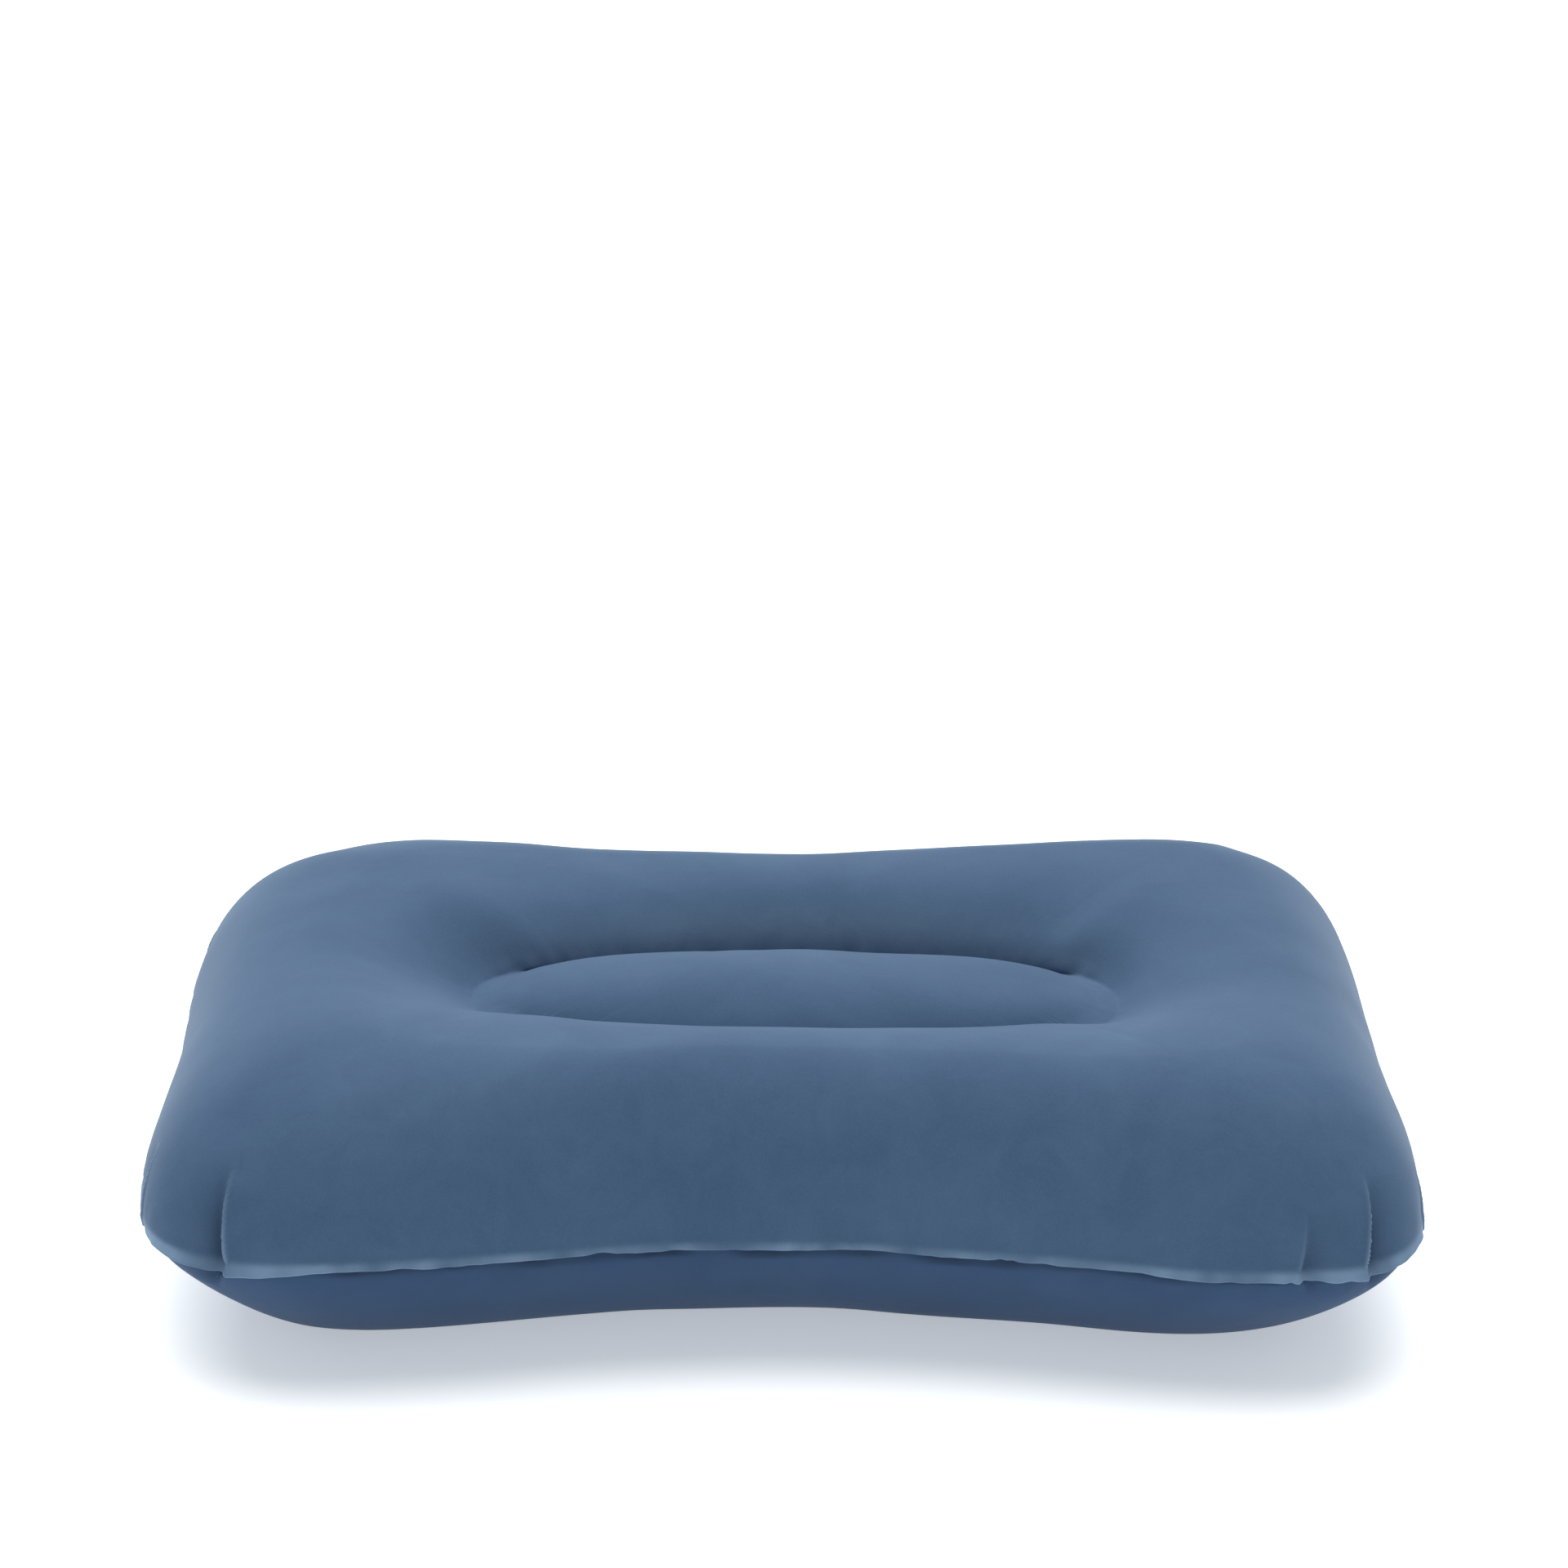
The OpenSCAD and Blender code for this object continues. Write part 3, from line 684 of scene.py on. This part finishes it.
class Nodes:
    """Small helper that adds and links the shader nodes of one material."""

    def __init__(self, name):
        self.mat = bpy.data.materials.new(name)
        self.mat.use_nodes = True
        self.tree = self.mat.node_tree
        self.tree.nodes.clear()
        out = self.tree.nodes.new("ShaderNodeOutputMaterial")
        self.bsdf = self.tree.nodes.new("ShaderNodeBsdfPrincipled")
        self.link(self.bsdf.outputs[0], out.inputs[0])
        self.coord = self.tree.nodes.new("ShaderNodeTexCoord").outputs["Object"]

    def link(self, a, b):
        self.tree.links.new(a, b)

    def feed(self, socket, value):
        """Links value to the socket if it is a socket too, and otherwise sets the socket to it."""
        if isinstance(value, bpy.types.NodeSocket):
            self.link(value, socket)
        else:
            socket.default_value = value

    def surface(self, **values):
        """Feeds the shader's own sockets, which are named with _ in place of a space."""
        for key, value in values.items():
            self.feed(self.bsdf.inputs[key.replace("_", " ")], value)

    def noise(self, scale, detail=3.0, rough=0.5, distortion=0.0, vector=None):
        node = self.tree.nodes.new("ShaderNodeTexNoise")
        node.inputs["Scale"].default_value = scale
        node.inputs["Detail"].default_value = detail
        node.inputs["Roughness"].default_value = rough
        node.inputs["Distortion"].default_value = distortion
        self.link(vector or self.coord, node.inputs["Vector"])
        return node.outputs["Fac"]

    def ramp(self, value, stops):
        """Colour ramp through the stops, each a place and a colour or a grey level."""
        node = self.tree.nodes.new("ShaderNodeValToRGB")
        els = node.color_ramp.elements
        while len(els) < len(stops):
            els.new(0.5)
        for el, (at, colour) in zip(els, stops):
            el.position = at
            el.color = (colour, colour, colour, 1) if isinstance(colour, (int, float)) else colour
        self.link(value, node.inputs[0])
        return node.outputs[0]

    def mix(self, a, b, fac):
        node = self.tree.nodes.new("ShaderNodeMix")
        node.data_type = "RGBA"
        for k, value in ((0, fac), (6, a), (7, b)):
            self.feed(node.inputs[k], value)
        return node.outputs[2]

    def math(self, operation, *values):
        node = self.tree.nodes.new("ShaderNodeMath")
        node.operation = operation
        for k, value in enumerate(values):
            self.feed(node.inputs[k], value)
        return node.outputs[0]

    def bump(self, height, strength, distance, normal=None):
        node = self.tree.nodes.new("ShaderNodeBump")
        node.inputs["Strength"].default_value = strength
        node.inputs["Distance"].default_value = distance
        self.link(height, node.inputs["Height"])
        if normal is not None:
            self.link(normal, node.inputs["Normal"])
        return node.outputs[0]

    def attribute(self, name):
        node = self.tree.nodes.new("ShaderNodeAttribute")
        node.attribute_name = name
        return node.outputs["Fac"]


def flock(name, deep, body, bright, painted_light_colour, sheen, grain, painted_shade_strength):
    """Short dense flock on vinyl: matt, with a soft sheen, rubbed nap patches, a fine grain, painted light
    and painted shade.
    """
    m = Nodes(name)
    stretch = m.tree.nodes.new("ShaderNodeMapping")
    stretch.inputs["Scale"].default_value = (1.0, 1.25, 0.8)
    m.link(m.coord, stretch.inputs["Vector"])
    patches = m.noise(16, 3, 0.55, 0.6, stretch.outputs[0])
    nap = m.noise(70, 4, 0.6, 1.1, stretch.outputs[0])
    speck = m.noise(1500, 2, 0.6)
    fibre = m.noise(3600, 1, 0.5)
    colour = m.ramp(patches, [(0.30, deep), (0.52, body), (0.75, bright)])

    # The left end leans towards teal, in large soft patches
    teal = (body[0] * 0.86, body[1] * 1.04, body[2] * 0.97, 1)
    where = m.tree.nodes.new("ShaderNodeSeparateXYZ")
    m.link(m.coord, where.inputs[0])
    leftward = m.ramp(m.math("MULTIPLY_ADD", where.outputs["X"], -2.4, 0.5), [(0.45, 0.25), (0.95, 1.0)])
    patchy = m.ramp(m.noise(5, 2, 0.5), [(0.4, 0.2), (0.65, 0.9)])
    colour = m.mix(colour, teal, m.math("MULTIPLY", leftward, patchy))

    # Nap and grain, then the painted light, then the darker welds and the painted shade in the folds and
    # under the lip
    colour = m.mix(colour, m.ramp(nap, [(0.35, deep), (0.65, bright)]), 0.3)
    colour = m.mix(colour, m.ramp(speck, [(0.35, deep), (0.68, bright)]), grain)
    # Painted light: a paler colour put on the lip and the tucks' ridges as a highlight, and on the wall of
    # the hollow round the oval to lift its shade
    painted_light_mix = m.math("MULTIPLY", m.attribute("painted_light"), m.ramp(nap, [(0.25, 0.7), (0.7, 1.0)]))
    colour = m.mix(colour, painted_light_colour, painted_light_mix)
    # The welds are a little darker in their own colour; the folds of the tucks and the gap under the lip get
    # painted shade
    in_weld = m.math("MULTIPLY", m.attribute("weld"), 0.12)
    painted_shade_mix = m.math("MULTIPLY", m.attribute("fold"), painted_shade_strength)
    dark = tuple(c * 0.5 for c in deep[:3]) + (1,)
    colour = m.mix(colour, dark, m.math("MAXIMUM", in_weld, painted_shade_mix))

    bumps = m.bump(nap, 0.10, 0.0006)
    bumps = m.bump(speck, 0.22, 0.00022, bumps)
    bumps = m.bump(fibre, 0.12, 0.00012, bumps)
    m.surface(Base_Color=colour, Roughness=m.ramp(nap, [(0.3, 0.78), (0.7, 0.96)]), Specular_IOR_Level=0.18,
              Sheen_Weight=sheen, Sheen_Roughness=0.42, Sheen_Tint=(0.74, 0.86, 1.0, 1), Normal=bumps)
    return m.mat


def vinyl(name, deep, body, rough, see_through=0.0, coat=0.0):
    """Soft moulded vinyl: slight colour clouding, a satin skin and faint flow marks."""
    m = Nodes(name)
    cloud = m.noise(160, 3, 0.5)
    flow = m.noise(900, 3, 0.6)
    m.surface(Base_Color=m.ramp(cloud, [(0.3, deep), (0.7, body)]),
              Roughness=m.ramp(flow, [(0.3, rough - 0.08), (0.7, rough + 0.1)]), Specular_IOR_Level=0.45,
              Subsurface_Weight=0.12, Subsurface_Radius=(0.4, 0.6, 1.0), Subsurface_Scale=0.0015,
              Transmission_Weight=see_through, Coat_Weight=coat, Normal=m.bump(flow, 0.08, 0.0001))
    return m.mat


# The top's paler colour is its painted light: the highlight of the lip and the tucks' ridges, and the lift
# in the hollow round the oval
FLOCK = flock(
    "flocked_vinyl_top", deep=srgb(58, 82, 111), body=srgb(66, 90, 119), bright=srgb(77, 101, 129),
    painted_light_colour=srgb(116, 141, 168), sheen=0.18, grain=0.20, painted_shade_strength=0.45)
# The base's flock is darker than the top's: painted shade for the underside, set against the light that the
# glowing floor throws on it. The base has no painted light, so its paler colour doesn't show
FLOCK_BASE = flock(
    "flocked_vinyl_base_painted_shade", deep=srgb(42, 65, 95), body=srgb(46, 70, 101), bright=srgb(54, 78, 109),
    painted_light_colour=srgb(60, 84, 114), sheen=0.12, grain=0.15, painted_shade_strength=0.9)
FILM = vinyl("inner_film", srgb(170, 182, 196), srgb(198, 208, 220), rough=0.45, see_through=0.25)
VALVE_VINYL = vinyl("valve_vinyl", srgb(58, 80, 110), srgb(78, 102, 134), rough=0.38, coat=0.15)

NODE_MATERIALS = {"top_sheet": FLOCK, "bottom_sheet": FLOCK_BASE, "tension_band": FILM, "check_flap": FILM}
for node_name, node_obj in frame["nodes"].items():
    node_obj.data.materials.clear()
    node_obj.data.materials.append(NODE_MATERIALS.get(node_name, VALVE_VINYL))


# ---------------------------------------------------------------- the pieces
def soft_sheet(obj, material, node):
    obj.data.materials.append(material)
    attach(obj, "shell")
    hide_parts(node)


soft_sheet(build_top(), FLOCK, "top_sheet")
soft_sheet(build_bottom(), FLOCK_BASE, "bottom_sheet")

# Band: a thin film wall between the oval welds, with a foot turned out both ways at its top and bottom edge
FOOT, WEB, FOOT_EDGE, FOOT_ROOT, BAND_COLUMNS = 1.5, 0.3, 0.5, 1.1, 240
low, high = BASE_CREASE + 0.9, TOP_CREASE - 0.5
outer_side = [
    (FOOT, low), (FOOT, low + FOOT_EDGE), (WEB, low + FOOT_ROOT),
    (WEB, high - FOOT_ROOT), (FOOT, high - FOOT_EDGE), (FOOT, high),
]
beam = [(-FOOT, low)] + outer_side + [(-out, z) for out, z in outer_side[:0:-1]]
loop = np.linspace(0, AROUND, BAND_COLUMNS, endpoint=False)
band_rows = np.array([
    lifted(crease_pt(loop, out), z + (crease_z(loop) - TOP_CREASE) * (z > (low + high) / 2))
    for out, z in beam])
last_row = (len(beam) - 1) * BAND_COLUMNS
band_faces = grid_faces(len(beam), BAND_COLUMNS).tolist()
band_faces += [[last_row + k, last_row + (k + 1) % BAND_COLUMNS, (k + 1) % BAND_COLUMNS, k]
               for k in range(BAND_COLUMNS)]
band = solid("tension_band_film", [(band_rows.reshape(-1, 3) * MM, band_faces)], FILM)
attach(band, "shell")
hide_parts("tension_band")

# Flange: a thin moulded ring with a raised weld line and an eased rim
ring = [
    (9.9, -0.05), (15.0, -0.05), (15.0, 0.35), (14.4, 0.55), (13.7, 0.6), (13.45, 0.85), (13.0, 0.85),
    (12.75, 0.62), (11.6, 0.66), (11.1, 0.95), (10.2, 0.95), (9.9, 0.7),
]
flange = solid("valve_flange_ring", [lathe(eased(ring, 0.22))], VALVE_VINYL)
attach(flange, "shell")
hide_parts("valve_flange")

# Boot: runs from the flange's mouth in to the cuff round the stem's foot; its outer side, then its inner one
outside = [(10.5, 0.0), (10.1, -1.6), (9.3, -4.2), (8.3, -7.4), (7.3, -10.4), (6.75, -12.1), (6.7, -15.0)]
within = [(6.1, -15.0), (6.12, -12.0), (6.7, -10.3), (7.7, -7.2), (8.7, -4.0), (9.5, -1.4), (9.9, 0.0)]
corners = np.array(outside + within)
end_edges = (len(outside) - 1, len(corners) - 1)
boot_wall = np.array([
    corners[k] * (1 - t) + corners[(k + 1) % len(corners)] * t
    for k in range(len(corners)) for t in ((0,) if k in end_edges else (0, 0.34, 0.67))])
boot = solid("valve_boot_funnel", [lathe(boot_wall)], VALVE_VINYL)
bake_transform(boot)
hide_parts("valve_boot")

# Stem: a tube with a rounded mouth, a grip bead below it, and the lug for the plug's strap
tube = [
    (4.0, -15.0), (6.0, -15.0), (6.0, 1.5), (6.0, 1.9), (6.35, 2.2), (6.35, 2.7), (6.0, 3.0), (6.0, 4.0),
    (4.0, 4.0),
]
lug_path = [(4.6, BEND_Z), (5.6, BEND_Z), (6.6, BEND_Z), (7.4, BEND_Z), (8.2, BEND_Z)]
stem_parts = [lathe(eased(tube, 0.35)), ribbon(lug_path, width=4.0, thick=1.6, edge=0.35)]
stem = solid("valve_stem_tube", stem_parts, VALVE_VINYL)
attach(stem, "stem")
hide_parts("valve_stem")

# Plug: a tapered stopper with a sealing bead, a dished head and a tab to pull it by
stopper = [
    (0.0, -1.0), (3.1, -1.0), (3.35, -0.7), (3.6, 1.2), (3.93, 1.5), (3.93, 1.9), (3.7, 2.2), (3.92, 4.0),
    (6.0, 4.02), (6.0, 5.35), (5.7, 5.6), (4.7, 5.6), (4.2, 5.35), (0.0, 5.2),
]
tab = [(0.0, 4.2), (2.6, 4.2), (2.6, 5.4), (1.7, 5.4), (1.3, 5.1), (0.0, 5.1)]
pull_tab = lathe(eased_to_axis(tab, 0.25), around=64, centre=(-7.0, 0.0))
plug_parts = [lathe(eased_to_axis(stopper, 0.22)), pull_tab]
plug = solid("valve_plug_stopper", plug_parts, VALVE_VINYL)
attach(plug, "plug")
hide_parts("valve_plug")

# Strap: out of the lug, round and back over to the plug's head
bend = curve_between([
    (7.4, BEND_Z), (8.5, BEND_Z), (9.35, 3.35), (9.75, 3.9),
    (9.3, 4.55), (8.4, 4.75), (7.2, 4.78), (5.6, 4.78),
], count=36)
strap = solid("plug_strap_loop", [ribbon(bend, width=3.8, thick=0.85)], VALVE_VINYL)
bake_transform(strap)
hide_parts("plug_strap")

# ---------------------------------------------------------------- floor, light and camera
# The floor glows a little, so that it comes out nearly white
bpy.ops.mesh.primitive_plane_add(size=60)
floor = bpy.context.object
floor.name = "floor"
paper = Nodes("floor_paper")
paper.surface(Base_Color=paper.mix(srgb(234, 235, 236), srgb(230, 231, 233), paper.noise(3, 2)),
              Roughness=0.9, Emission_Color=(0.9, 0.95, 1.0, 1), Emission_Strength=0.44)
floor.data.materials.append(paper.mat)


def ranged(tree, value, from_min, from_max, to_min=0.0, to_max=1.0):
    """Node that eases value from one range to another."""
    node = tree.nodes.new("ShaderNodeMapRange")
    node.interpolation_type = "SMOOTHSTEP"
    node.inputs["From Min"].default_value = from_min
    node.inputs["From Max"].default_value = from_max
    node.inputs["To Min"].default_value = to_min
    node.inputs["To Max"].default_value = to_max
    tree.links.new(value, node.inputs["Value"])
    return node.outputs[0]


# A bright tent over and behind the pillow, dimmer on the camera's side, with a white band along the horizon
world = bpy.data.worlds.new("studio")
bpy.context.scene.world = world
world.use_nodes = True
sky = world.node_tree
split = sky.nodes.new("ShaderNodeSeparateXYZ")
sky.links.new(sky.nodes.new("ShaderNodeTexCoord").outputs["Generated"], split.inputs[0])
brightness = sky.nodes.new("ShaderNodeMix")
brightness.inputs[2].default_value = 1.0
above_horizon = ranged(sky, split.outputs["Z"], from_min=0.13, from_max=0.26)
behind = ranged(sky, split.outputs["Y"], from_min=-0.7, from_max=1.1, to_min=0.30, to_max=0.92)
sky.links.new(above_horizon, brightness.inputs[0])
sky.links.new(behind, brightness.inputs[3])
background = sky.nodes["Background"]
background.inputs[0].default_value = (0.97, 0.985, 1.0, 1)
sky.links.new(brightness.outputs[0], background.inputs[1])

sun = bpy.data.lights.new("key_overhead", "SUN")
sun.energy = 3.3
sun.angle = math.radians(70)
sun.color = (1.0, 0.995, 0.98)
key = bpy.data.objects.new("key_overhead", sun)
bpy.context.scene.collection.objects.link(key)
key.rotation_euler = Vector((0.08, -0.42, -1.0)).to_track_quat("-Z", "Y").to_euler()
bpy.context.scene.view_settings.view_transform = "Standard"

# The camera's axis passes through LOOK_AT, DIST metres away
LOOK_AT = Vector((0, 0, 0.05))
DIST, ELEV, AZ, ROLL = 1.3076, math.radians(27.27), math.radians(-1.13), math.radians(1.02)
camera = bpy.data.cameras.new("camera")
camera.sensor_width = 36
camera.lens = 88.64
camera.shift_x = 0.0021
camera.shift_y = 0.1815
camera.clip_start = 0.05
camera.clip_end = 50
cam = bpy.data.objects.new("camera", camera)
bpy.context.scene.collection.objects.link(cam)
bpy.context.scene.camera = cam
back = Vector((math.sin(AZ) * math.cos(ELEV), -math.cos(AZ) * math.cos(ELEV), math.sin(ELEV)))
right = (-back).cross(Vector((0, 0, 1))).normalized()
up = right.cross(-back)
right, up = right * math.cos(ROLL) + up * math.sin(ROLL), up * math.cos(ROLL) - right * math.sin(ROLL)
turned = Matrix((right, up, back)).transposed().to_4x4()
cam.matrix_world = Matrix.Translation(LOOK_AT + back * DIST) @ turned
